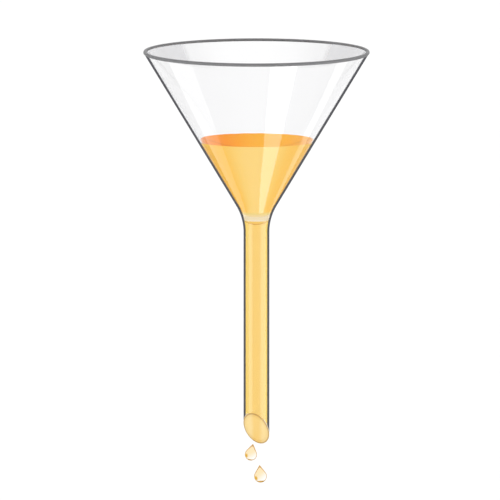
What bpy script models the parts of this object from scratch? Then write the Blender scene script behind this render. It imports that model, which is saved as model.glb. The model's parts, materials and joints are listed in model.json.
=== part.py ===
"""Conical glass filter funnel, partly filled, with two drops falling from its slanted tip.

Frame: +Z up along the funnel's axis. The origin is on the axis where the cone is 60 mm across
outside, which is where a support ring carries it. The slanted mouth of the stem faces -Y.
Lengths are in metres.
"""
from math import asin, cos, pi, radians, sin, sqrt, tan

import bmesh
import bpy
from mathutils import Vector

# Glass: one even wall, described by its middle line from the tip up to the beaded rim
RIM_DIAMETER = 0.100
CONE_HALF_ANGLE = radians(31.0)
WALL = 0.00125
BEAD_RADIUS = 0.0008
LAND_WIDTH = 0.0009  # flat ground on the top of the bead
STEM_DIAMETER = 0.0114
NECK_OUTER_RADIUS = 0.023
SEAT_DIAMETER = 0.060
TIP_DROP = 0.175  # from the bead's centre down to the lowest point of the stem
BEVEL_ANGLE = radians(53.0)  # slanted mouth, from the horizontal
WELD_DROP = 0.002  # from the end of the neck's curve down to the weld

# Liquid: heights are distances below the bead's centre
CLEARANCE = 0.0003
POOL_TOP_DROP = 0.0388
POOL_EDGE_DROP = 0.0706
POOL_BELLY_DROP = 0.0729
COLUMN_EDGE_DROP = 0.0746
COLUMN_HOLLOW_DROP = 0.0764

# Drops: bulb radius, distance from bulb centre to apex, lean of the apex towards +X in degrees,
# and the bulb centre's x and its distance below the bead's centre
DROPS = {
    "drop_upper": {"bulb": 0.00268, "apex": 0.00497, "lean": 11.8, "x": -0.00340, "drop": 0.1798},
    "drop_lower": {"bulb": 0.00281, "apex": 0.00505, "lean": -4.8, "x": 0.00115, "drop": 0.1893},
}
DROP_Y = 0.002

# Fineness of the meshes
BOWL_SEGMENTS = 64
STEM_SEGMENTS = 48
DROP_SEGMENTS = 24
NECK_STEPS = 7
BEAD_STEP = radians(15.0)
DOME_STEPS = 5
BULB_STEPS = 10
SHARP_ANGLE = radians(25.0)
MERGE_DISTANCE = 1e-7

# Worked out from the above
HALF_WALL = WALL / 2
RIM_MIDDLE = RIM_DIAMETER / 2 - BEAD_RADIUS
RIM_Z = (RIM_MIDDLE + HALF_WALL / cos(CONE_HALF_ANGLE) - SEAT_DIAMETER / 2) / tan(CONE_HALF_ANGLE)
STEM_MIDDLE = STEM_DIAMETER / 2 - HALF_WALL
NECK_RADIUS = NECK_OUTER_RADIUS + HALF_WALL
NECK_X = STEM_MIDDLE + NECK_RADIUS
CORNER_Z = RIM_Z - (RIM_MIDDLE - STEM_MIDDLE) / tan(CONE_HALF_ANGLE)
NECK_Z = CORNER_Z - NECK_RADIUS * tan(CONE_HALF_ANGLE / 2)
WELD_Z = NECK_Z - WELD_DROP
TIP_Z = RIM_Z - TIP_DROP

# Looks
GLASS_IOR = 1.47
LIQUID_IOR = 1.36
GLASS_ROUGHNESS = 0.02
LIQUID_ROUGHNESS = 0.0
GLASS_COLOR = (0.93, 0.94, 0.95)
POOL_COLOR = (0.98, 0.56, 0.16)
COLUMN_COLOR = (0.98, 0.64, 0.20)
DROP_COLOR = (0.95, 0.55, 0.15)


def clear_scene():
    for item in list(bpy.data.objects):
        bpy.data.objects.remove(item, do_unlink=True)


def clear_material(name, color, ior, roughness):
    """A see-through material."""
    material = bpy.data.materials.new(name)
    material.use_nodes = True
    shader = material.node_tree.nodes["Principled BSDF"]
    shader.inputs["Base Color"].default_value = (*color, 1.0)
    shader.inputs["Roughness"].default_value = roughness
    shader.inputs["Metallic"].default_value = 0.0
    shader.inputs["IOR"].default_value = ior
    shader.inputs["Transmission Weight"].default_value = 1.0
    return material


def wall_radius(z, offset):
    """Radius at height z of the surface that lies offset outside the wall's middle."""
    bend = NECK_RADIUS - offset
    rise = z - NECK_Z
    bend_rise = bend * sin(CONE_HALF_ANGLE)
    if rise <= 0:
        return STEM_MIDDLE + offset
    if rise <= bend_rise:
        return NECK_X - sqrt(bend**2 - rise**2)
    return NECK_X - bend * cos(CONE_HALF_ANGLE) + (rise - bend_rise) * tan(CONE_HALF_ANGLE)


def wall_points(offset, low, high):
    """Outline points up the wall at this offset, with the neck's bend in even turns."""
    bend = NECK_RADIUS - offset
    turns = [CONE_HALF_ANGLE * step / NECK_STEPS for step in range(NECK_STEPS + 1)]
    bends = [NECK_Z + bend * sin(turn) for turn in turns]
    heights = [low] + [z for z in bends if low < z < high] + [high]
    return [(wall_radius(z, offset), z) for z in heights]


def arc_points(center, radius, start, end, steps):
    """Points along an arc, both ends included, with angles from +X."""
    turns = [start + (end - start) * step / steps for step in range(steps + 1)]
    return [(center[0] + radius * cos(turn), center[1] + radius * sin(turn)) for turn in turns]


def dome_points(edge_radius, edge_z, pole_z):
    """A shallow spherical cap from its edge to its pole on the axis, hollow or bulging."""
    depth = edge_z - pole_z
    radius = (edge_radius**2 + depth**2) / (2 * depth)
    half_angle = asin(edge_radius / radius)
    center = (0.0, pole_z + radius)
    return arc_points(center, radius, half_angle - pi / 2, -pi / 2, DOME_STEPS)


def turned_mesh(outline, segments, is_loop):
    """Turn an outline of (radius, height) points round Z into a bmesh."""
    mesh = bmesh.new()
    verts = [mesh.verts.new((max(radius, 0.0), 0.0, z)) for radius, z in outline]
    edges = [mesh.edges.new(pair) for pair in zip(verts, verts[1:])]
    if is_loop:
        edges.append(mesh.edges.new((verts[-1], verts[0])))
    bmesh.ops.spin(
        mesh,
        geom=verts + edges,
        cent=(0.0, 0.0, 0.0),
        axis=(0.0, 0.0, 1.0),
        angle=2 * pi,
        steps=segments,
        use_merge=True,
    )
    bmesh.ops.remove_doubles(mesh, verts=mesh.verts, dist=MERGE_DISTANCE)
    return mesh


def cut_mouth(mesh, lift):
    """Cut the lower end off along the slanted mouth, lifted by this much along its normal."""
    inward = Vector((0.0, sin(BEVEL_ANGLE), cos(BEVEL_ANGLE)))
    lowest = Vector((0.0, STEM_DIAMETER / 2, TIP_Z))
    bmesh.ops.bisect_plane(
        mesh,
        geom=mesh.verts[:] + mesh.edges[:] + mesh.faces[:],
        plane_co=lowest + inward * lift,
        plane_no=inward,
        clear_inner=True,
    )
    return [edge for edge in mesh.edges if edge.is_boundary]


def add_object(name, mesh, material, parent):
    """Make an object of the bmesh, round faces smooth and edges sharp."""
    bmesh.ops.recalc_face_normals(mesh, faces=mesh.faces)
    data = bpy.data.meshes.new(name)
    mesh.to_mesh(data)
    mesh.free()
    data.materials.append(material)
    data.shade_smooth()
    data.set_sharp_from_angle(angle=SHARP_ANGLE)
    item = bpy.data.objects.new(name, data)
    bpy.context.scene.collection.objects.link(item)
    item.parent = parent
    return item


def glass_material(name):
    return clear_material(name, GLASS_COLOR, GLASS_IOR, GLASS_ROUGHNESS)


def liquid_material(name, color):
    return clear_material(name, color, LIQUID_IOR, LIQUID_ROUGHNESS)


def make_bowl(material, parent):
    """Cone, beaded rim with its ground land, and flared neck, down to the weld."""
    center = (RIM_MIDDLE, RIM_Z)
    land = asin(LAND_WIDTH / 2 / BEAD_RADIUS)
    spread = asin(HALF_WALL / BEAD_RADIUS)
    wall_turn = pi / 2 + CONE_HALF_ANGLE
    wall_start = RIM_Z - BEAD_RADIUS * cos(spread) * cos(CONE_HALF_ANGLE)
    outer_high = wall_start - HALF_WALL * sin(CONE_HALF_ANGLE)
    inner_high = wall_start + HALF_WALL * sin(CONE_HALF_ANGLE)
    outer_turn = pi / 2 - land + wall_turn - spread
    inner_turn = 1.5 * pi - wall_turn - spread - land
    low = WELD_Z + CLEARANCE / 2
    outer_bead = arc_points(
        center, BEAD_RADIUS, pi / 2 - land, spread - wall_turn, round(outer_turn / BEAD_STEP)
    )
    outer_wall = wall_points(HALF_WALL, low, outer_high)[::-1]
    inner_wall = wall_points(-HALF_WALL, low, inner_high)
    inner_bead = arc_points(
        center,
        BEAD_RADIUS,
        2 * pi - wall_turn - spread,
        pi / 2 + land,
        round(inner_turn / BEAD_STEP),
    )
    outline = outer_bead + outer_wall[1:] + inner_wall + inner_bead[1:]
    add_object("bowl", turned_mesh(outline, BOWL_SEGMENTS, True), material, parent)


def make_stem(material, parent):
    """Straight tube from the weld to the slanted mouth."""
    outer = STEM_DIAMETER / 2
    inner = outer - WALL
    top = WELD_Z - CLEARANCE / 2
    bottom = TIP_Z - WALL
    outline = [(outer, top), (outer, bottom), (inner, bottom), (inner, top)]
    mesh = turned_mesh(outline, STEM_SEGMENTS, True)
    bmesh.ops.bridge_loops(mesh, edges=cut_mouth(mesh, 0.0))
    add_object("stem", mesh, material, parent)


def make_pool(material, parent):
    """Liquid standing in the cone: flat on top, bulging below over the trapped air."""
    offset = -HALF_WALL - CLEARANCE
    top = RIM_Z - POOL_TOP_DROP
    edge = RIM_Z - POOL_EDGE_DROP
    sides = wall_points(offset, edge, top)[::-1]
    belly = dome_points(sides[-1][0], edge, RIM_Z - POOL_BELLY_DROP)
    outline = [(0.0, top)] + sides + belly[1:]
    add_object("liquid_pool", turned_mesh(outline, STEM_SEGMENTS, False), material, parent)


def make_column(material, parent):
    """Liquid filling the neck and stem: hollow on top, cut along the slanted mouth."""
    offset = -HALF_WALL - CLEARANCE
    edge = RIM_Z - COLUMN_EDGE_DROP
    sides = wall_points(offset, TIP_Z - WALL, edge)[::-1]
    hollow = dome_points(sides[0][0], edge, RIM_Z - COLUMN_HOLLOW_DROP)[::-1]
    mesh = turned_mesh(hollow + sides[1:], STEM_SEGMENTS, False)
    bmesh.ops.contextual_create(mesh, geom=cut_mouth(mesh, CLEARANCE))
    add_object("stem_liquid", mesh, material, parent)


def make_drop(name, size, material, parent):
    """Round bulb drawn up to an apex, leaning sideways, its origin at the bulb's centre."""
    tangent = asin(size["bulb"] / size["apex"])
    bulb = arc_points((0.0, 0.0), size["bulb"], tangent, -pi / 2, BULB_STEPS)
    outline = [(0.0, size["apex"])] + bulb
    drop = add_object(name, turned_mesh(outline, DROP_SEGMENTS, False), material, parent)
    drop.location = (size["x"], DROP_Y, RIM_Z - size["drop"])
    drop.rotation_euler = (0.0, radians(size["lean"]), 0.0)


def main():
    clear_scene()
    funnel = bpy.data.objects.new("filter_funnel", None)
    bpy.context.scene.collection.objects.link(funnel)
    make_bowl(glass_material("borosilicate_glass"), funnel)
    make_stem(glass_material("stem_glass"), funnel)
    make_pool(liquid_material("amber_pool", POOL_COLOR), funnel)
    make_column(liquid_material("amber_column", COLUMN_COLOR), funnel)
    for name, size in DROPS.items():
        make_drop(name, size, liquid_material(f"{name}_liquid", DROP_COLOR), funnel)


main()
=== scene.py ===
"""Looks of the conical glass filter funnel: blown glass, amber liquid and two falling drops.

Everything is in metres, in the row's frame: +Z up along the funnel's axis.
"""

import json
from math import asin, cos, pi, radians, sin, sqrt, tan

import bmesh
import bpy
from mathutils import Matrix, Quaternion, Vector


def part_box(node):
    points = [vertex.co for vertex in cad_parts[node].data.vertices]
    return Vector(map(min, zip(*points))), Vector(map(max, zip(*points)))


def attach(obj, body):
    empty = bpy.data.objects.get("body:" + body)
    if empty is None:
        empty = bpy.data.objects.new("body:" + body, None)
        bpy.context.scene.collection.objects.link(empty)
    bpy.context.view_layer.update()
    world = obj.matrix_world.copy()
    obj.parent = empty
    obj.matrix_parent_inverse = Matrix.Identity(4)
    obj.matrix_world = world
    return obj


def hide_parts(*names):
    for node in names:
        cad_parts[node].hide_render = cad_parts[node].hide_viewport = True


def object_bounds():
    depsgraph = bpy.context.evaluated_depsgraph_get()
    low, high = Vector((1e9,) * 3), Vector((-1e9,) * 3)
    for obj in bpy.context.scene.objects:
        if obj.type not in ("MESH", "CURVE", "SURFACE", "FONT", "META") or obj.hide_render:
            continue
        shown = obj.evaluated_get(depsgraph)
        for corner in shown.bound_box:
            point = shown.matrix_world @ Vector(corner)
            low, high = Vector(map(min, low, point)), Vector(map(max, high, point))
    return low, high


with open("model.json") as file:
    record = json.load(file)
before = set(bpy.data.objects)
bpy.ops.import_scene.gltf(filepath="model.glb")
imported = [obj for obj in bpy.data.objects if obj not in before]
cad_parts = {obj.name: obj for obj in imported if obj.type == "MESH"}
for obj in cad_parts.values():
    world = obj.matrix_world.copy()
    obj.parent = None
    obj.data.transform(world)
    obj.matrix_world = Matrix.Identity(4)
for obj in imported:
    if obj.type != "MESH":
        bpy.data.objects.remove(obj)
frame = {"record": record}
cad_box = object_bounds()

# Shape of the glass that the boxes don't give
CONE_HALF_ANGLE = radians(31.0)
WALL = 0.00125
BEAD_RADIUS = 0.0008
LAND_WIDTH = 0.0009
NECK_OUTER_RADIUS = 0.023
BEVEL_ANGLE = radians(53.0)
WELD_GAP = 0.00002

# Shape of the liquid
LIQUID_GAP = 0.00004
POOL_BULGE = 0.0023
COLUMN_HOLLOW = 0.0018
FILM = 0.00015
MOUTH_FILM_EDGE = 0.00015
MOUTH_FILM_BULGE = 0.0003
MOUTH_EDGE_PART = 0.9  # the edge's faces start this part of the way over the liquid's gap
MOUTH_FILM_PART = 2.2  # and the hanging film's faces this many edge radii below it
DROPS = {
    "drop_upper": {"bulb": 0.00268, "apex": 0.00497, "lean": radians(11.8)},
    "drop_lower": {"bulb": 0.00281, "apex": 0.00505, "lean": radians(-4.8)},
}

# Fineness
SEGMENTS = 192
DROP_SEGMENTS = 64
NECK_STEPS = 24
BEAD_STEP = radians(7.0)
DOME_STEPS = 16
BULB_STEPS = 24
NECKING = (0.04, 0.1, 0.3, 0.6)  # extra rings down a drop's cone, as parts of its length
EDGE_STEPS = 4
MERGE_DISTANCE = 1e-7
SHARP_ANGLE = radians(25.0)

# Slots of the faces of glass, pool and column
OUTSIDE, WET_INSIDE, WELD, DRY_INSIDE, BEAD = range(5)
POOL_BODY, POOL_SURFACE, POOL_BELLY = range(3)
COLUMN_BODY, NECK_FILM, MOUTH_FILM, MOUTH_EDGE, COLUMN_MENISCUS = range(5)

# Worked out from the frame
BOWL_LOW, BOWL_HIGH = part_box("bowl")
STEM_LOW, STEM_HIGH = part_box("stem")
POOL_LOW, POOL_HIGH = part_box("liquid_pool")
COLUMN_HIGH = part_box("stem_liquid")[1]
HALF_WALL = WALL / 2
RIM_MIDDLE = BOWL_HIGH.x - BEAD_RADIUS
RIM_Z = BOWL_HIGH.z - sqrt(BEAD_RADIUS**2 - (LAND_WIDTH / 2) ** 2)
STEM_RADIUS = STEM_HIGH.x
STEM_MIDDLE = STEM_RADIUS - HALF_WALL
NECK_RADIUS = NECK_OUTER_RADIUS + HALF_WALL
NECK_X = STEM_MIDDLE + NECK_RADIUS
CORNER_Z = RIM_Z - (RIM_MIDDLE - STEM_MIDDLE) / tan(CONE_HALF_ANGLE)
NECK_Z = CORNER_Z - NECK_RADIUS * tan(CONE_HALF_ANGLE / 2)
WELD_Z = (BOWL_LOW.z + STEM_HIGH.z) / 2
TIP_Z = STEM_LOW.z
LIQUID_OFFSET = -HALF_WALL - LIQUID_GAP
MOUTH_INWARD = Vector((0.0, sin(BEVEL_ANGLE), cos(BEVEL_ANGLE)))
MOUTH_CENTER = Vector((0.0, 0.0, TIP_Z + STEM_RADIUS * tan(BEVEL_ANGLE)))

# How glass and liquid bend light. Where they touch, only the glass bends it, as against a body of
# BODY_IOR, and the liquid's own sides let it straight through.
GLASS_IOR = 1.47
LIQUID_IOR = 1.36
BODY_IOR = 1.15
WET_IOR = GLASS_IOR / BODY_IOR
STRAIGHT_IOR = 1.0
BEAD_IOR = 1.3
DROP_IOR = 1.03
COLUMN_DENSITY = 200.0  # per metre
CAUGHT_POWER = 6.0  # how nearly all light must be mirrored inside before it goes straight out
BEAD_SPECULAR = 0.2
BEAD_ROUGHNESS = 0.3
WET_ROUGHNESS = 0.06
MURKY_TRANSMISSION = 0.1

# Painted shade outlines, standing for the dark edges of glass and drops: full up to the first
# depth in from the edge, and gone at the second
OUTLINE = (0.00087, 0.00133)
DROP_OUTLINE = (0.00008, 0.00034)

# Where tints and painted shade change, from the first to the second squareness of the face to the
# view
BEAD_GRAZED = (0.05, 0.55)
BODY_EDGE = (0.50, 0.60)
BODY_SIDE = (0.70, 0.86)
COLUMN_SIDE = (0.1, 0.95)
MENISCUS_LINE = (0.14, 0.34)

# Painted sheen inside the rim, a grey painted reflection: at the first squareness it ends at the
# rim's height, and it reaches lower the squarer the face is seen. It is the sum of two layers, each
# with the squareness where it is full, the one where it is gone, and its strength.
SHEEN_SQUARENESS = 0.063
SHEEN_REACH = 0.0150
SHEEN_LAYERS = ((0.66, 0.72, 0.30), (0.72, 0.90, 0.15))

# Where tints change, in metres from the axis: the surface's painted shade from left to right, and
# the wet mouth's from its middle to both sides
SURFACE_SPAN = (-0.018, 0.004)
WET_SPAN = (0.0008, 0.0030)

# Features of a drop, as parts of its bulb's radius: painted light low on one side, a painted
# reflection spot and painted shade at the bottom; side and place are (right, away, up)
DROP_BRIGHT_SIDE = (0.6, 0.0, -0.8)
DROP_BRIGHT_SPAN = (-0.6, 0.8)
DROP_SPOT_PLACE = (-0.74, -0.62, -0.20)
DROP_SPOT_SPAN = (0.15, 0.5)
DROP_BOTTOM_SPAN = (-0.76, -0.58)

# Soft unevenness: features per metre, then the height of waves and the reach of wavers in metres
GLASS_PATCHES = 40.0
BEAD_PATCHES = 150.0
POOL_PATCHES = 90.0
COLUMN_PATCHES = 200.0
FILM_PATCHES = 250.0
DROP_PATCHES = 300.0
FLOOR_PATCHES = 4.0
GLASS_WAVES = (60.0, 0.00006)
BEAD_WAVES = (400.0, 0.00005)
SURFACE_WAVES = (120.0, 0.00002)
SURFACE_WAVER = (60.0, 0.006)
WET_WAVER = (300.0, 0.0012)

# Tints and shades; a tint counts each time that light crosses the face
WHITE = (1.0, 1.0, 1.0)
GLASS_TINTS = ((0.984, 0.984, 0.986), (0.992, 0.992, 0.993))
# Painted shade of the glass's outline
OUTLINE_PAINTED_SHADE = (0.10, 0.10, 0.11)
# Grey of the painted reflection inside the rim
PAINTED_SHEEN_GREY = (0.52, 0.52, 0.545)
# The bead's grey and its darker grazed grey are painted shade
BEAD_SHADES = ((0.19, 0.19, 0.195), (0.23, 0.23, 0.235))
BEAD_GRAZED_PAINTED_SHADE = (0.08, 0.08, 0.085)
WELD_TINTS = (WHITE, (0.99, 0.99, 0.99))
BODY_TINTS = ((1.0, 0.82, 0.44), (1.0, 0.84, 0.48))
# Painted shade deepening the pool's amber where its sides turn away
BODY_SIDE_SHADED_TINT = (1.0, 0.765, 0.31)
BODY_EDGE_SHADED_TINT = (0.97, 0.72, 0.08)
BELLY_TINTS = ((1.0, 0.935, 0.64), (1.0, 0.945, 0.67))
BELLY_FOOT_TINT = (1.0, 0.97, 0.90)
# Painted shade makes the surface deepest at its left
SURFACE_SHADED_LEFT_TINT = (1.0, 0.34, 0.0)
SURFACE_RIGHT_TINT = (1.0, 0.50, 0.02)
COLUMN_DEPTH_COLOR = (1.0, 0.7835, 0.067)
COLUMN_TINTS = ((1.0, 0.98, 0.95), WHITE)
# Painted shade deepening the column's amber at its sides
COLUMN_SIDE_SHADED_TINT = (1.0, 0.88, 0.2)
MENISCUS_TINTS = ((1.0, 0.965, 0.89), (1.0, 0.975, 0.91))
# Painted shade of the meniscus's edge-on line
MENISCUS_LINE_PAINTED_SHADE = (0.72, 0.60, 0.44)
NECK_FILM_TINTS = ((0.98, 0.93, 0.82), (0.99, 0.95, 0.86))
MOUTH_FILM_SHADES = ((0.95, 0.64, 0.20), (0.98, 0.74, 0.33))
MOUTH_EDGE_SHADES = ((0.62, 0.38, 0.12), (0.66, 0.44, 0.18))
DROP_TINTS = ((1.0, 0.79, 0.48), (1.0, 0.81, 0.52))
# Painted light, painted reflection spot and painted shade of the drops
DROP_PAINTED_LIGHT_TINT = (1.0, 0.99, 0.96)
DROP_PAINTED_REFLECTION_TINT = (0.75, 0.42, 0.04)
DROP_BOTTOM_SHADED_TINT = (0.62, 0.32, 0.02)
DROP_OUTLINE_PAINTED_SHADE = (0.66, 0.40, 0.13)
DROP_BOTTOM_PAINTED_SHADE = (0.50, 0.27, 0.03)
FLOOR_SHADES = ((0.975, 0.975, 0.975), (0.985, 0.985, 0.985))

# Camera, as the photo's
CAMERA_AZIMUTH = radians(21.0)
CAMERA_ELEVATION = radians(7.3)
LENS = 1000.0  # mm
SENSOR = 36.0  # mm
VIEW_WIDTH = 0.2212  # across the picture
AIM_DROP = 0.0880  # below the rim
AIM_SIDE = -0.00285  # to the camera's right
CLIP_START = 0.05
CLIP_END = 200.0

# Floor, and the world's strengths: where it is seen or lights the floor, where glass mirrors it,
# and where glass mirrors its left, with how far left and how far behind these change
FLOOR_DROP = 0.30
FLOOR_SIZE = 60.0
WORLD_STRENGTH = 1.06
MIRRORED_STRENGTH = 0.60
MIRRORED_LEFT_STRENGTH = 0.35
MIRRORED_LEFT = (0.05, 0.50)
MIRRORED_BEHIND = (0.55, 0.90)

# Light panels: the cone's have a place (right, away, up) from it, a width and height, a turn in
# degrees about their own axis, and a radiance; the stem's have a width and an azimuth in degrees
# from the camera's
CONE_PANELS = {
    "cone_centre": ((0.141, -0.132, -0.38), (0.16, 0.13), 27.0, 4.0),
    "cone_left": ((-0.454, 0.186, -0.469), (0.32, 0.30), -34.0, 1.1),
    "cone_right": ((0.428, 0.291, -0.416), (0.155, 0.30), 34.0, 1.2),
}
STEM_PANELS = {"stem_right": (0.66, 66.0), "stem_left": (0.38, -54.0)}
STEM_PANEL_DISTANCE = 0.6
STEM_PANEL_RISE = -0.077
STEM_PANEL_HEIGHT = 0.36
STEM_PANEL_RADIANCE = 2.3


def studio_vector(right, away, up):
    """Turn a direction given as seen from the camera into the row's frame."""
    side = Vector((cos(CAMERA_AZIMUTH), sin(CAMERA_AZIMUTH), 0.0))
    back = Vector((-sin(CAMERA_AZIMUTH), cos(CAMERA_AZIMUTH), 0.0))
    return side * right + back * away + Vector((0.0, 0.0, up))


RIGHT = studio_vector(1.0, 0.0, 0.0)
AWAY = studio_vector(0.0, 1.0, 0.0)


# ---------------------------------------------------------------- outlines

def wall_radius(z, offset):
    """Radius at height z of the surface that lies offset outside the wall's middle."""
    bend = NECK_RADIUS - offset
    rise = z - NECK_Z
    bend_rise = bend * sin(CONE_HALF_ANGLE)
    if rise <= 0:
        return STEM_MIDDLE + offset
    if rise <= bend_rise:
        return NECK_X - sqrt(bend**2 - rise**2)
    return NECK_X - bend * cos(CONE_HALF_ANGLE) + (rise - bend_rise) * tan(CONE_HALF_ANGLE)


def wall_points(offset, low, high):
    """Outline points up the wall at this offset, with the neck's bend in even turns."""
    bend = NECK_RADIUS - offset
    turns = [CONE_HALF_ANGLE * step / NECK_STEPS for step in range(NECK_STEPS + 1)]
    bends = [NECK_Z + bend * sin(turn) for turn in turns]
    heights = [low] + [z for z in bends if low < z < high] + [high]
    return [(wall_radius(z, offset), z) for z in heights]


def arc_points(center, radius, start, end, steps):
    """Points along an arc, both ends included, with angles from +X."""
    turns = [start + (end - start) * step / steps for step in range(steps + 1)]
    return [(center[0] + radius * cos(turn), center[1] + radius * sin(turn)) for turn in turns]


def dome_points(edge_radius, edge_z, pole_z):
    """A shallow spherical cap from its edge to its pole on the axis, hollow or bulging."""
    depth = edge_z - pole_z
    radius = (edge_radius**2 + depth**2) / (2 * depth)
    half_angle = asin(edge_radius / radius)
    return arc_points((0.0, pole_z + radius), radius, half_angle - pi / 2, -pi / 2, DOME_STEPS)


# ---------------------------------------------------------------- meshes

def turned_mesh(outline, segments, is_loop):
    """Turn an outline of (radius, height) points round Z into a bmesh."""
    mesh = bmesh.new()
    verts = [mesh.verts.new((max(radius, 0.0), 0.0, z)) for radius, z in outline]
    edges = [mesh.edges.new(pair) for pair in zip(verts, verts[1:])]
    if is_loop:
        edges.append(mesh.edges.new((verts[-1], verts[0])))
    bmesh.ops.spin(
        mesh,
        geom=verts + edges,
        cent=(0.0, 0.0, 0.0),
        axis=(0.0, 0.0, 1.0),
        angle=2 * pi,
        steps=segments,
        use_merge=True,
    )
    bmesh.ops.remove_doubles(mesh, verts=mesh.verts, dist=MERGE_DISTANCE)
    return mesh


def cut_mouth(mesh, lift):
    """Cut the lower end off along the slanted mouth, lifted by this much along its normal."""
    bmesh.ops.bisect_plane(
        mesh,
        geom=mesh.verts[:] + mesh.edges[:] + mesh.faces[:],
        plane_co=MOUTH_CENTER + MOUTH_INWARD * lift,
        plane_no=MOUTH_INWARD,
        clear_inner=True,
    )
    return [edge for edge in mesh.edges if edge.is_boundary]


def mouth_film(mesh, edges, lift):
    """Carry the liquid on from its cut end over the mouth's ground edge, as a thin hanging film."""
    inner = STEM_MIDDLE + LIQUID_OFFSET
    edge_middle = STEM_RADIUS - MOUTH_FILM_EDGE
    rings = [(inner, 0.0), (edge_middle, 0.0)]
    for step in range(1, EDGE_STEPS + 1):
        turn = pi * step / EDGE_STEPS
        depth = MOUTH_FILM_EDGE * (1 - cos(turn))
        rings.append((edge_middle + MOUTH_FILM_EDGE * sin(turn), depth))
    for step in range(1, DOME_STEPS):
        reach = 1 - step / DOME_STEPS
        depth = 2 * MOUTH_FILM_EDGE + MOUTH_FILM_BULGE * (1 - reach**2)
        rings.append((edge_middle * reach, depth))
    for (radius, depth), (next_radius, next_depth) in zip(rings, rings[1:]):
        center = MOUTH_CENTER + MOUTH_INWARD * (lift - depth)
        next_center = MOUTH_CENTER + MOUTH_INWARD * (lift - next_depth)
        made = bmesh.ops.extrude_edge_only(mesh, edges=edges)["geom"]
        for item in made:
            if isinstance(item, bmesh.types.BMVert):
                item.co = next_center + (item.co - center) * (next_radius / radius)
        edges = [e for e in made if isinstance(e, bmesh.types.BMEdge) and e.is_boundary]
    bmesh.ops.contextual_create(mesh, geom=edges)
    edge_start = LIQUID_GAP * MOUTH_EDGE_PART
    film_start = LIQUID_GAP + MOUTH_FILM_EDGE * MOUTH_FILM_PART
    for face in mesh.faces:
        depth = -(face.calc_center_median() - MOUTH_CENTER).dot(MOUTH_INWARD)
        if depth > film_start:
            face.material_index = MOUTH_FILM
        elif depth > edge_start:
            face.material_index = MOUTH_EDGE


def add_object(name, data):
    added = bpy.data.objects.new(name, data)
    bpy.context.scene.collection.objects.link(added)
    return added


def add_piece(name, mesh, materials):
    """Make a shown piece of the bmesh, round faces smooth and edges sharp."""
    bmesh.ops.recalc_face_normals(mesh, faces=mesh.faces)
    data = bpy.data.meshes.new(name)
    mesh.to_mesh(data)
    mesh.free()
    for material in materials:
        data.materials.append(material)
    data.shade_smooth()
    data.set_sharp_from_angle(angle=SHARP_ANGLE)
    return add_object(name, data)


def finish_piece(piece, node):
    """The piece moves with the node's body and hides the node."""
    body = next(b for b, nodes in frame["record"]["behaviour"]["bodies"].items() if node in nodes)
    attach(piece, body)
    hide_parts(node)


def bowl_outline():
    """Closed outline of cone, bead and neck: down the outside and up the inside."""
    center = (RIM_MIDDLE, RIM_Z)
    land = asin(LAND_WIDTH / 2 / BEAD_RADIUS)
    spread = asin(HALF_WALL / BEAD_RADIUS)
    wall_turn = pi / 2 + CONE_HALF_ANGLE
    wall_start = RIM_Z - BEAD_RADIUS * cos(spread) * cos(CONE_HALF_ANGLE)
    outer_high = wall_start - HALF_WALL * sin(CONE_HALF_ANGLE)
    inner_high = wall_start + HALF_WALL * sin(CONE_HALF_ANGLE)
    outer_turn = pi / 2 - land + wall_turn - spread
    inner_turn = 1.5 * pi - wall_turn - spread - land
    low = WELD_Z + WELD_GAP / 2
    outer_bead = arc_points(
        center, BEAD_RADIUS, pi / 2 - land, spread - wall_turn, round(outer_turn / BEAD_STEP)
    )
    inner_bead = arc_points(
        center,
        BEAD_RADIUS,
        2 * pi - wall_turn - spread,
        pi / 2 + land,
        round(inner_turn / BEAD_STEP),
    )
    outer_wall = wall_points(HALF_WALL, low, outer_high)[::-1]
    wet_wall = wall_points(-HALF_WALL, low, POOL_HIGH.z)
    inner_wall = wet_wall[:-1] + wall_points(-HALF_WALL, POOL_HIGH.z, inner_high)
    return outer_bead + outer_wall[1:] + inner_wall + inner_bead[1:]


def name_glass_faces(mesh):
    """Give each face of a glass piece its slot."""
    for face in mesh.faces:
        middle = face.calc_center_median()
        if abs(middle.z - WELD_Z) < WELD_GAP:
            face.material_index = WELD
        elif middle.z > RIM_Z - BEAD_RADIUS:
            face.material_index = BEAD
        elif middle.xy.length < wall_radius(middle.z, 0.0):
            face.material_index = WET_INSIDE if middle.z < POOL_HIGH.z else DRY_INSIDE
        else:
            face.material_index = OUTSIDE


def make_bowl():
    mesh = turned_mesh(bowl_outline(), SEGMENTS, True)
    name_glass_faces(mesh)
    dry = [dry_glass("bowl_inside"), bead_material("rim_bead_glass")]
    piece = add_piece("bowl_glass", mesh, glass_materials("bowl") + dry)
    finish_piece(piece, "bowl")


def make_stem():
    inner = STEM_RADIUS - WALL
    top = WELD_Z - WELD_GAP / 2
    bottom = TIP_Z - WALL
    outline = [(STEM_RADIUS, top), (STEM_RADIUS, bottom), (inner, bottom), (inner, top)]
    mesh = turned_mesh(outline, SEGMENTS, True)
    name_glass_faces(mesh)
    bmesh.ops.bridge_loops(mesh, edges=cut_mouth(mesh, 0.0))
    piece = add_piece("stem_glass", mesh, glass_materials("stem"))
    finish_piece(piece, "stem")


def make_pool():
    """Liquid in the cone, flat on top and bulging below."""
    edge = POOL_LOW.z + POOL_BULGE
    sides = wall_points(LIQUID_OFFSET, edge, POOL_HIGH.z)[::-1]
    belly = dome_points(sides[-1][0], edge, POOL_LOW.z)
    mesh = turned_mesh([(0.0, POOL_HIGH.z)] + sides + belly[1:], SEGMENTS, False)
    for face in mesh.faces:
        middle = face.calc_center_median()
        if middle.z > POOL_HIGH.z - LIQUID_GAP:
            face.material_index = POOL_SURFACE
        elif middle.z < edge:
            face.material_index = POOL_BELLY
        else:
            face.material_index = POOL_BODY
    materials = [
        body_material("pool_liquid"),
        surface_material("pool_surface"),
        belly_material("pool_belly"),
    ]
    piece = add_piece("pool_liquid", mesh, materials)
    finish_piece(piece, "liquid_pool")


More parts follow.
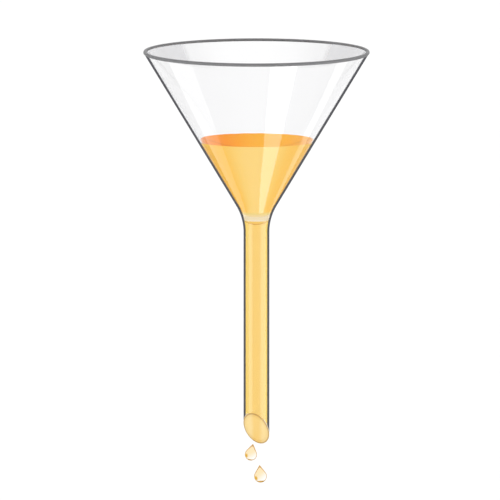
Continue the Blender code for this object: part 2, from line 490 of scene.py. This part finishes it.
def make_column():
    """Liquid filling the neck and stem, with a film up the neck and over the mouth's edge."""
    edge = COLUMN_HIGH.z
    pole = edge - COLUMN_HOLLOW
    film_top = POOL_LOW.z + POOL_BULGE - LIQUID_GAP
    film_inside = wall_points(LIQUID_OFFSET - FILM, edge, film_top)
    hollow = dome_points(film_inside[0][0], edge, pole)[::-1]
    film_outside = wall_points(LIQUID_OFFSET, pole, film_top)[::-1]
    body_side = wall_points(LIQUID_OFFSET, TIP_Z - WALL, pole)[::-1]
    mesh = turned_mesh(hollow + film_inside[1:] + film_outside + body_side[1:], SEGMENTS, False)
    for face in mesh.faces:
        middle = face.calc_center_median()
        radius = middle.xy.length
        film_skin = wall_radius(middle.z, LIQUID_OFFSET - FILM / 2)
        film_back = wall_radius(middle.z, LIQUID_OFFSET - FILM * 1.5)
        if middle.z > edge and radius > film_back:
            face.material_index = NECK_FILM
        elif middle.z > pole and radius < film_skin:
            face.material_index = COLUMN_MENISCUS
        else:
            face.material_index = COLUMN_BODY
    lift = -LIQUID_GAP
    mouth_film(mesh, cut_mouth(mesh, lift), lift)
    materials = [
        column_material("column_liquid"),
        plain_material("neck_film", NECK_FILM_TINTS),
        wet_material("mouth_film", MOUTH_FILM_SHADES),
        wet_material("mouth_edge", MOUTH_EDGE_SHADES),
        meniscus_material("column_meniscus"),
    ]
    piece = add_piece("column_liquid", mesh, materials)
    finish_piece(piece, "stem_liquid")


def make_drop(name, bulb, apex, lean):
    """Round bulb of this radius drawn up to an apex, leaning sideways."""
    outline = arc_points((0.0, 0.0), bulb, asin(bulb / apex), -pi / 2, BULB_STEPS)
    top_radius, top = outline[0]
    neck = [(top_radius * part, apex + (top - apex) * part) for part in NECKING]
    mesh = turned_mesh([(0.0, apex)] + neck + outline, DROP_SEGMENTS, False)
    piece = add_piece(f"{name}_liquid", mesh, [drop_material(f"{name}_liquid", bulb)])
    low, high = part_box(name)
    bulb_x = low.x + bulb if lean > 0 else high.x - bulb
    piece.rotation_euler = (0.0, lean, 0.0)
    piece.location = (bulb_x, (low.y + high.y) / 2, low.z + bulb)
    finish_piece(piece, name)


# ---------------------------------------------------------------- materials

class Tree:
    """Short forms for building the nodes of a material or a world."""

    def __init__(self, owner, output):
        owner.use_nodes = True
        self.owner = owner
        self.nodes = owner.node_tree.nodes
        self.nodes.clear()
        self.output = self.add(output)

    def fill(self, socket, value):
        """Give an input a link, a number, a vector or an (r, g, b) colour."""
        if isinstance(value, bpy.types.NodeSocket):
            self.owner.node_tree.links.new(value, socket)
        elif socket.type == "RGBA":
            socket.default_value = (*value, 1.0)
        else:
            socket.default_value = value

    def add(self, kind, inputs=None, **settings):
        """A node with these settings and inputs."""
        node = self.nodes.new(kind)
        for key, value in settings.items():
            setattr(node, key, value)
        for key, value in (inputs or {}).items():
            self.fill(node.inputs[key], value)
        return node

    def surface(self, socket):
        self.fill(self.output.inputs["Surface"], socket)

    def math(self, operation, first, second):
        return self.add("ShaderNodeMath", {0: first, 1: second}, operation=operation).outputs[0]

    def times(self, first, second):
        return self.math("MULTIPLY", first, second)

    def less(self, value):
        """1 minus the value."""
        return self.math("SUBTRACT", 1.0, value)

    def vector(self, operation, first, second=(0.0, 0.0, 0.0)):
        """Outputs of a vector maths node."""
        node = self.add("ShaderNodeVectorMath", {0: first, 1: second}, operation=operation)
        return node.outputs

    def dot(self, first, second):
        return self.vector("DOT_PRODUCT", first, second)["Value"]

    def mix_colors(self, amount, first, second):
        """Blend of two colours."""
        node = self.add("ShaderNodeMix", {0: amount, 6: first, 7: second}, data_type="RGBA")
        return node.outputs[2]

    def mix_shaders(self, amount, first, second):
        return self.add("ShaderNodeMixShader", {0: amount, 1: first, 2: second}).outputs[0]

    def place(self):
        """The point's place in the piece's own frame."""
        return self.add("ShaderNodeTexCoord").outputs["Object"]

    def cloud(self, scale):
        """Soft noise from 0 to 1, its scale in features per metre."""
        noise = self.add("ShaderNodeTexNoise", {"Vector": self.place(), "Scale": scale})
        return noise.outputs["Fac"]

    def patches(self, scale, colors):
        """Soft patches of two colours."""
        return self.mix_colors(self.cloud(scale), *colors)

    def bumps(self, scale, height):
        """A normal that waves gently."""
        node = self.add("ShaderNodeBump", {"Distance": height, "Height": self.cloud(scale)})
        return node.outputs[0]

    def waver(self, value, scale, reach):
        """The value, shifted softly to and fro."""
        shift = self.math("SUBTRACT", self.cloud(scale), 0.5)
        return self.math("ADD", value, self.times(shift, reach))

    def ramp(self, value, low, high, start=0.0, end=1.0):
        """The start at or below low, the end at or above high, eased between."""
        inputs = {"From Min": low, "From Max": high, "To Min": start, "To Max": end}
        inputs["Value"] = value
        node = self.add("ShaderNodeMapRange", inputs, interpolation_type="SMOOTHSTEP")
        return node.outputs[0]

    def height(self):
        """The point's height in the piece's own frame."""
        return self.add("ShaderNodeSeparateXYZ", {0: self.place()}).outputs[2]

    def along(self, direction):
        """How far the point lies along this direction from the piece's origin."""
        return self.dot(self.place(), direction)

    def distance(self, point):
        """The point's distance from this one."""
        return self.vector("DISTANCE", self.place(), point)["Value"]

    def axis_distance(self):
        """The point's distance from the piece's own Z axis."""
        flat = self.vector("MULTIPLY", self.place(), (1.0, 1.0, 0.0))["Vector"]
        return self.vector("LENGTH", flat)["Value"]

    def inside(self):
        """1 where a ray meets the face from inside the body, else 0."""
        return self.add("ShaderNodeNewGeometry").outputs["Backfacing"]

    def squareness(self, **inputs):
        """1 where a ray meets the face square on, 0 where it grazes it."""
        facing = self.add("ShaderNodeLayerWeight", {"Blend": 0.5, **inputs}).outputs["Facing"]
        return self.less(facing)

    def edge_depth(self, radius):
        """How far in from its outline a point of a turned face of this radius is seen."""
        around = self.vector("CROSS_PRODUCT", self.place(), (0.0, 0.0, 1.0))["Vector"]
        around = self.vector("NORMALIZE", around)["Vector"]
        square = self.squareness()
        aside = self.squareness(Normal=around)
        total = self.math("ADD", self.times(square, square), self.times(aside, aside))
        part = self.math("DIVIDE", aside, self.math("POWER", total, 0.5))
        return self.times(self.less(part), radius)


def material_tree(name):
    return Tree(bpy.data.materials.new(name), "ShaderNodeOutputMaterial")


def clear_shader(tree, tint, ior, **inputs):
    """Smooth clear shader of this tint."""
    inputs = {"Color": tint, "Roughness": 0.0, "IOR": ior, **inputs}
    return tree.add("ShaderNodeBsdfGlass", inputs).outputs[0]


def straight_through(tree, tint):
    """A clear shader that tints light and neither bends nor mirrors it."""
    return clear_shader(tree, tint, STRAIGHT_IOR)


def clear_glass(tree, ior):
    """Clear glass with a faint grey cast that varies a little from place to place."""
    tint = tree.patches(GLASS_PATCHES, GLASS_TINTS)
    return clear_shader(tree, tint, ior, Normal=tree.bumps(*GLASS_WAVES))


def murky_shader(tree, color, ior, roughness, **inputs):
    """Glossy shader that lets hardly any light through."""
    settings = {
        "Base Color": color,
        "Roughness": roughness,
        "IOR": ior,
        "Transmission Weight": MURKY_TRANSMISSION,
        **inputs,
    }
    return tree.add("ShaderNodeBsdfPrincipled", settings).outputs[0]


def shade_mix(tree, amount, clear, shade):
    """Blend from a clear shader to a plain shade by this amount."""
    dull = tree.add("ShaderNodeBsdfDiffuse", {"Color": shade})
    return tree.mix_shaders(amount, clear, dull.outputs[0])


def glass_materials(name):
    """Materials of the outside, the wet inside and the weld of a glass piece."""
    return [
        outer_glass(f"{name}_outside"),
        wet_glass(f"{name}_wet_inside"),
        plain_material(f"{name}_weld", WELD_TINTS),
    ]


def outer_glass(name):
    """Glass with an outline of painted dark shade as wide as its wall; light caught inside it goes
    straight out.
    """
    tree = material_tree(name)
    radius = tree.math("DIVIDE", tree.axis_distance(), cos(CONE_HALF_ANGLE))
    depth = tree.edge_depth(radius)
    clear = tree.math("MAXIMUM", tree.ramp(depth, *OUTLINE), tree.inside())
    shaded_outline = shade_mix(tree, tree.less(clear), clear_glass(tree, GLASS_IOR), OUTLINE_PAINTED_SHADE)
    fresnel = tree.add("ShaderNodeFresnel", {"IOR": GLASS_IOR}).outputs[0]
    caught = tree.times(tree.math("POWER", fresnel, CAUGHT_POWER), tree.inside())
    tree.surface(tree.mix_shaders(caught, shaded_outline, straight_through(tree, WHITE)))
    return tree.owner


def wet_glass(name):
    """The inner face where liquid touches it, so it bends and mirrors light less."""
    tree = material_tree(name)
    tree.surface(clear_glass(tree, WET_IOR))
    return tree.owner


def dry_glass(name):
    """The bare inner face, with a soft grey painted reflection at the sides of the rim's opening.
    """
    tree = material_tree(name)
    square = tree.squareness()
    reach = tree.times(tree.math("SUBTRACT", square, SHEEN_SQUARENESS), SHEEN_REACH)
    height = tree.math("ADD", tree.height(), reach)
    sheen = 0.0
    for full, gone, strength in SHEEN_LAYERS:
        layer = tree.less(tree.ramp(square, full, gone))
        sheen = tree.math("ADD", sheen, tree.times(layer, strength))
    near_rim = tree.ramp(height, RIM_Z - BEAD_RADIUS, RIM_Z + BEAD_RADIUS)
    amount = tree.times(tree.times(sheen, near_rim), tree.less(tree.inside()))
    tree.surface(shade_mix(tree, amount, clear_glass(tree, GLASS_IOR), PAINTED_SHEEN_GREY))
    return tree.owner


def bead_material(name):
    """The rim's thick bead, painted grey because little light gets through it, with painted shade
    where grazed.
    """
    tree = material_tree(name)
    square_on = tree.patches(BEAD_PATCHES, BEAD_SHADES)
    facing = tree.ramp(tree.squareness(), *BEAD_GRAZED)
    grey = tree.mix_colors(facing, BEAD_GRAZED_PAINTED_SHADE, square_on)
    inputs = {"Specular IOR Level": BEAD_SPECULAR, "Normal": tree.bumps(*BEAD_WAVES)}
    tree.surface(murky_shader(tree, grey, BEAD_IOR, BEAD_ROUGHNESS, **inputs))
    return tree.owner


def plain_material(name, tints):
    """A face that lets light straight through and tints it in patches."""
    tree = material_tree(name)
    tree.surface(straight_through(tree, tree.patches(FILM_PATCHES, tints)))
    return tree.owner


def body_material(name):
    """Amber liquid against the glass, with painted shade deepening it the more its sides turn away.
    """
    tree = material_tree(name)
    square = tree.squareness()
    side = tree.mix_colors(tree.ramp(square, *BODY_EDGE), BODY_EDGE_SHADED_TINT, BODY_SIDE_SHADED_TINT)
    middle = tree.patches(POOL_PATCHES, BODY_TINTS)
    tint = tree.mix_colors(tree.ramp(square, *BODY_SIDE), side, middle)
    tree.surface(straight_through(tree, tint))
    return tree.owner


def belly_material(name):
    """The pool's rounded foot, paler where there is less liquid behind it."""
    tree = material_tree(name)
    fill = tree.ramp(tree.height(), POOL_LOW.z, POOL_LOW.z + POOL_BULGE)
    amber = tree.patches(POOL_PATCHES, BELLY_TINTS)
    tree.surface(straight_through(tree, tree.mix_colors(fill, BELLY_FOOT_TINT, amber)))
    return tree.owner


def column_material(name):
    """Amber liquid that is deeper the further the light goes through it."""
    tree = material_tree(name)
    middle = tree.patches(COLUMN_PATCHES, COLUMN_TINTS)
    # Painted shade: a deeper tint where the sides turn away
    side = tree.ramp(tree.squareness(), *COLUMN_SIDE)
    tree.surface(straight_through(tree, tree.mix_colors(side, COLUMN_SIDE_SHADED_TINT, middle)))
    inputs = {"Color": COLUMN_DEPTH_COLOR, "Density": COLUMN_DENSITY}
    depth = tree.add("ShaderNodeVolumeAbsorption", inputs)
    tree.fill(tree.output.inputs["Volume"], depth.outputs[0])
    return tree.owner


def meniscus_material(name):
    """The hollow top of the column, whose edge-on line is brown painted shade."""
    tree = material_tree(name)
    line = tree.less(tree.ramp(tree.squareness(), *MENISCUS_LINE))
    pale = straight_through(tree, tree.patches(FILM_PATCHES, MENISCUS_TINTS))
    tree.surface(shade_mix(tree, line, pale, MENISCUS_LINE_PAINTED_SHADE))
    return tree.owner


def surface_material(name):
    """The liquid's top: deep from above, with painted shade deepest at its left, and clear from
    inside.
    """
    tree = material_tree(name)
    across = tree.waver(tree.along(RIGHT), *SURFACE_WAVER)
    reach = tree.ramp(across, *SURFACE_SPAN)
    shaded = tree.mix_colors(reach, SURFACE_SHADED_LEFT_TINT, SURFACE_RIGHT_TINT)
    tint = tree.mix_colors(tree.inside(), shaded, WHITE)
    tree.surface(clear_shader(tree, tint, LIQUID_IOR, Normal=tree.bumps(*SURFACE_WAVES)))
    return tree.owner


def wet_material(name, shades):
    """Liquid seen against the ground glass edge that it wets, so hardly clear."""
    tree = material_tree(name)
    across = tree.waver(tree.math("ABSOLUTE", tree.along(RIGHT), 0.0), *WET_WAVER)
    color = tree.mix_colors(tree.ramp(across, *WET_SPAN), *shades)
    tree.surface(murky_shader(tree, color, LIQUID_IOR, WET_ROUGHNESS))
    return tree.owner


def drop_material(name, bulb):
    """Pale amber with painted light low on one side, a painted reflection spot, and painted shade
    in its golden outline and bottom crescent.
    """
    tree = material_tree(name)
    bright_span = [part * bulb for part in DROP_BRIGHT_SPAN]
    spot_span = [part * bulb for part in DROP_SPOT_SPAN]
    bottom_span = [part * bulb for part in DROP_BOTTOM_SPAN]
    # Painted light low on one side, a painted reflection spot and painted shade at the bottom
    bright = tree.ramp(tree.along(studio_vector(*DROP_BRIGHT_SIDE)), *bright_span)
    tint = tree.mix_colors(bright, tree.patches(DROP_PATCHES, DROP_TINTS), DROP_PAINTED_LIGHT_TINT)
    spot = tree.ramp(tree.distance(studio_vector(*DROP_SPOT_PLACE) * bulb), *spot_span)
    tint = tree.mix_colors(spot, DROP_PAINTED_REFLECTION_TINT, tint)
    bottom = tree.ramp(tree.height(), *bottom_span)
    tint = tree.mix_colors(bottom, DROP_BOTTOM_SHADED_TINT, tint)
    clear = clear_shader(tree, tree.mix_colors(tree.inside(), tint, WHITE), DROP_IOR)
    # A golden outline of painted shade at the drop's edge
    below = tree.math("LESS_THAN", tree.height(), 0.0)
    radius = tree.math("MAXIMUM", tree.axis_distance(), tree.times(below, bulb))
    square = tree.squareness()
    depth = tree.times(tree.times(square, square), tree.times(radius, 0.5))
    rim = tree.less(tree.ramp(depth, *DROP_OUTLINE))
    painted_edge_shade = tree.mix_colors(bottom, DROP_BOTTOM_PAINTED_SHADE, DROP_OUTLINE_PAINTED_SHADE)
    tree.surface(shade_mix(tree, rim, clear, painted_edge_shade))
    return tree.owner


def floor_material():
    tree = material_tree("pale_floor")
    pale = tree.patches(FLOOR_PATCHES, FLOOR_SHADES)
    tree.surface(tree.add("ShaderNodeBsdfDiffuse", {"Color": pale}).outputs[0])
    return tree.owner


# ---------------------------------------------------------------- stage

def make_floor():
    bpy.ops.mesh.primitive_plane_add(size=FLOOR_SIZE, location=(0, 0, cad_box[0].z - FLOOR_DROP))
    floor = bpy.context.object
    floor.name = "floor"
    floor.data.materials.append(floor_material())
    floor.visible_glossy = False


def make_world():
    """White world, dimmer where glass mirrors it, most at the left, except what lies behind."""
    world = bpy.data.worlds.new("studio")
    bpy.context.scene.world = world
    tree = Tree(world, "ShaderNodeOutputWorld")
    ray = tree.add("ShaderNodeLightPath").outputs
    mirrored = tree.math("SUBTRACT", ray["Is Reflection Ray"], ray["Is Diffuse Ray"])
    sky = tree.add("ShaderNodeTexCoord").outputs["Generated"]
    left = tree.dot(sky, -RIGHT)
    behind = tree.dot(sky, AWAY)
    dim = tree.ramp(left, *MIRRORED_LEFT, MIRRORED_STRENGTH, MIRRORED_LEFT_STRENGTH)
    dim = tree.ramp(behind, *MIRRORED_BEHIND, dim, WORLD_STRENGTH)
    strength = tree.ramp(mirrored, 0.0, 1.0, WORLD_STRENGTH, dim)
    background = tree.add("ShaderNodeBackground", {"Color": WHITE, "Strength": strength})
    tree.surface(background.outputs[0])


def make_panel(name, place, target, size, turn, radiance):
    """Soft rectangular light at a place, facing a target, turned about its own axis."""
    data = bpy.data.lights.new(name, "AREA")
    data.shape = "RECTANGLE"
    data.size, data.size_y = size
    data.energy = radiance * pi * size[0] * size[1]
    panel = add_object(name, data)
    panel.location = place
    aim = (target - place).to_track_quat("-Z", "Y")
    panel.rotation_euler = (aim @ Quaternion((0.0, 0.0, 1.0), turn)).to_euler()
    panel.visible_camera = False
    panel.visible_transmission = False
    panel.visible_diffuse = False


def make_lights():
    """Panels that the glass mirrors as upright streaks."""
    cone = Vector((0.0, 0.0, 0.0))
    for name, (place, size, turn, radiance) in CONE_PANELS.items():
        make_panel(name, studio_vector(*place), cone, size, radians(turn), radiance)
    stem = Vector((0.0, 0.0, (WELD_Z + TIP_Z) / 2))
    for name, (width, azimuth) in STEM_PANELS.items():
        right = STEM_PANEL_DISTANCE * sin(radians(azimuth))
        nearer = STEM_PANEL_DISTANCE * cos(radians(azimuth))
        place = stem + studio_vector(right, -nearer, STEM_PANEL_RISE)
        make_panel(name, place, stem, (width, STEM_PANEL_HEIGHT), 0.0, STEM_PANEL_RADIANCE)


def make_camera():
    data = bpy.data.cameras.new("camera")
    data.lens = LENS
    data.sensor_width = SENSOR
    data.clip_start = CLIP_START
    data.clip_end = CLIP_END
    camera = add_object("camera", data)
    aim = Vector((0.0, 0.0, RIM_Z - AIM_DROP)) + RIGHT * AIM_SIDE
    back = studio_vector(0.0, -cos(CAMERA_ELEVATION), sin(CAMERA_ELEVATION))
    camera.location = aim + back * (VIEW_WIDTH * LENS / SENSOR)
    camera.rotation_euler = (-back).to_track_quat("-Z", "Y").to_euler()
    bpy.context.scene.camera = camera


def main():
    make_bowl()
    make_stem()
    make_pool()
    make_column()
    for name, size in DROPS.items():
        make_drop(name, **size)
    make_floor()
    make_world()
    make_lights()
    make_camera()
    bpy.context.scene.view_settings.view_transform = "Standard"


main()
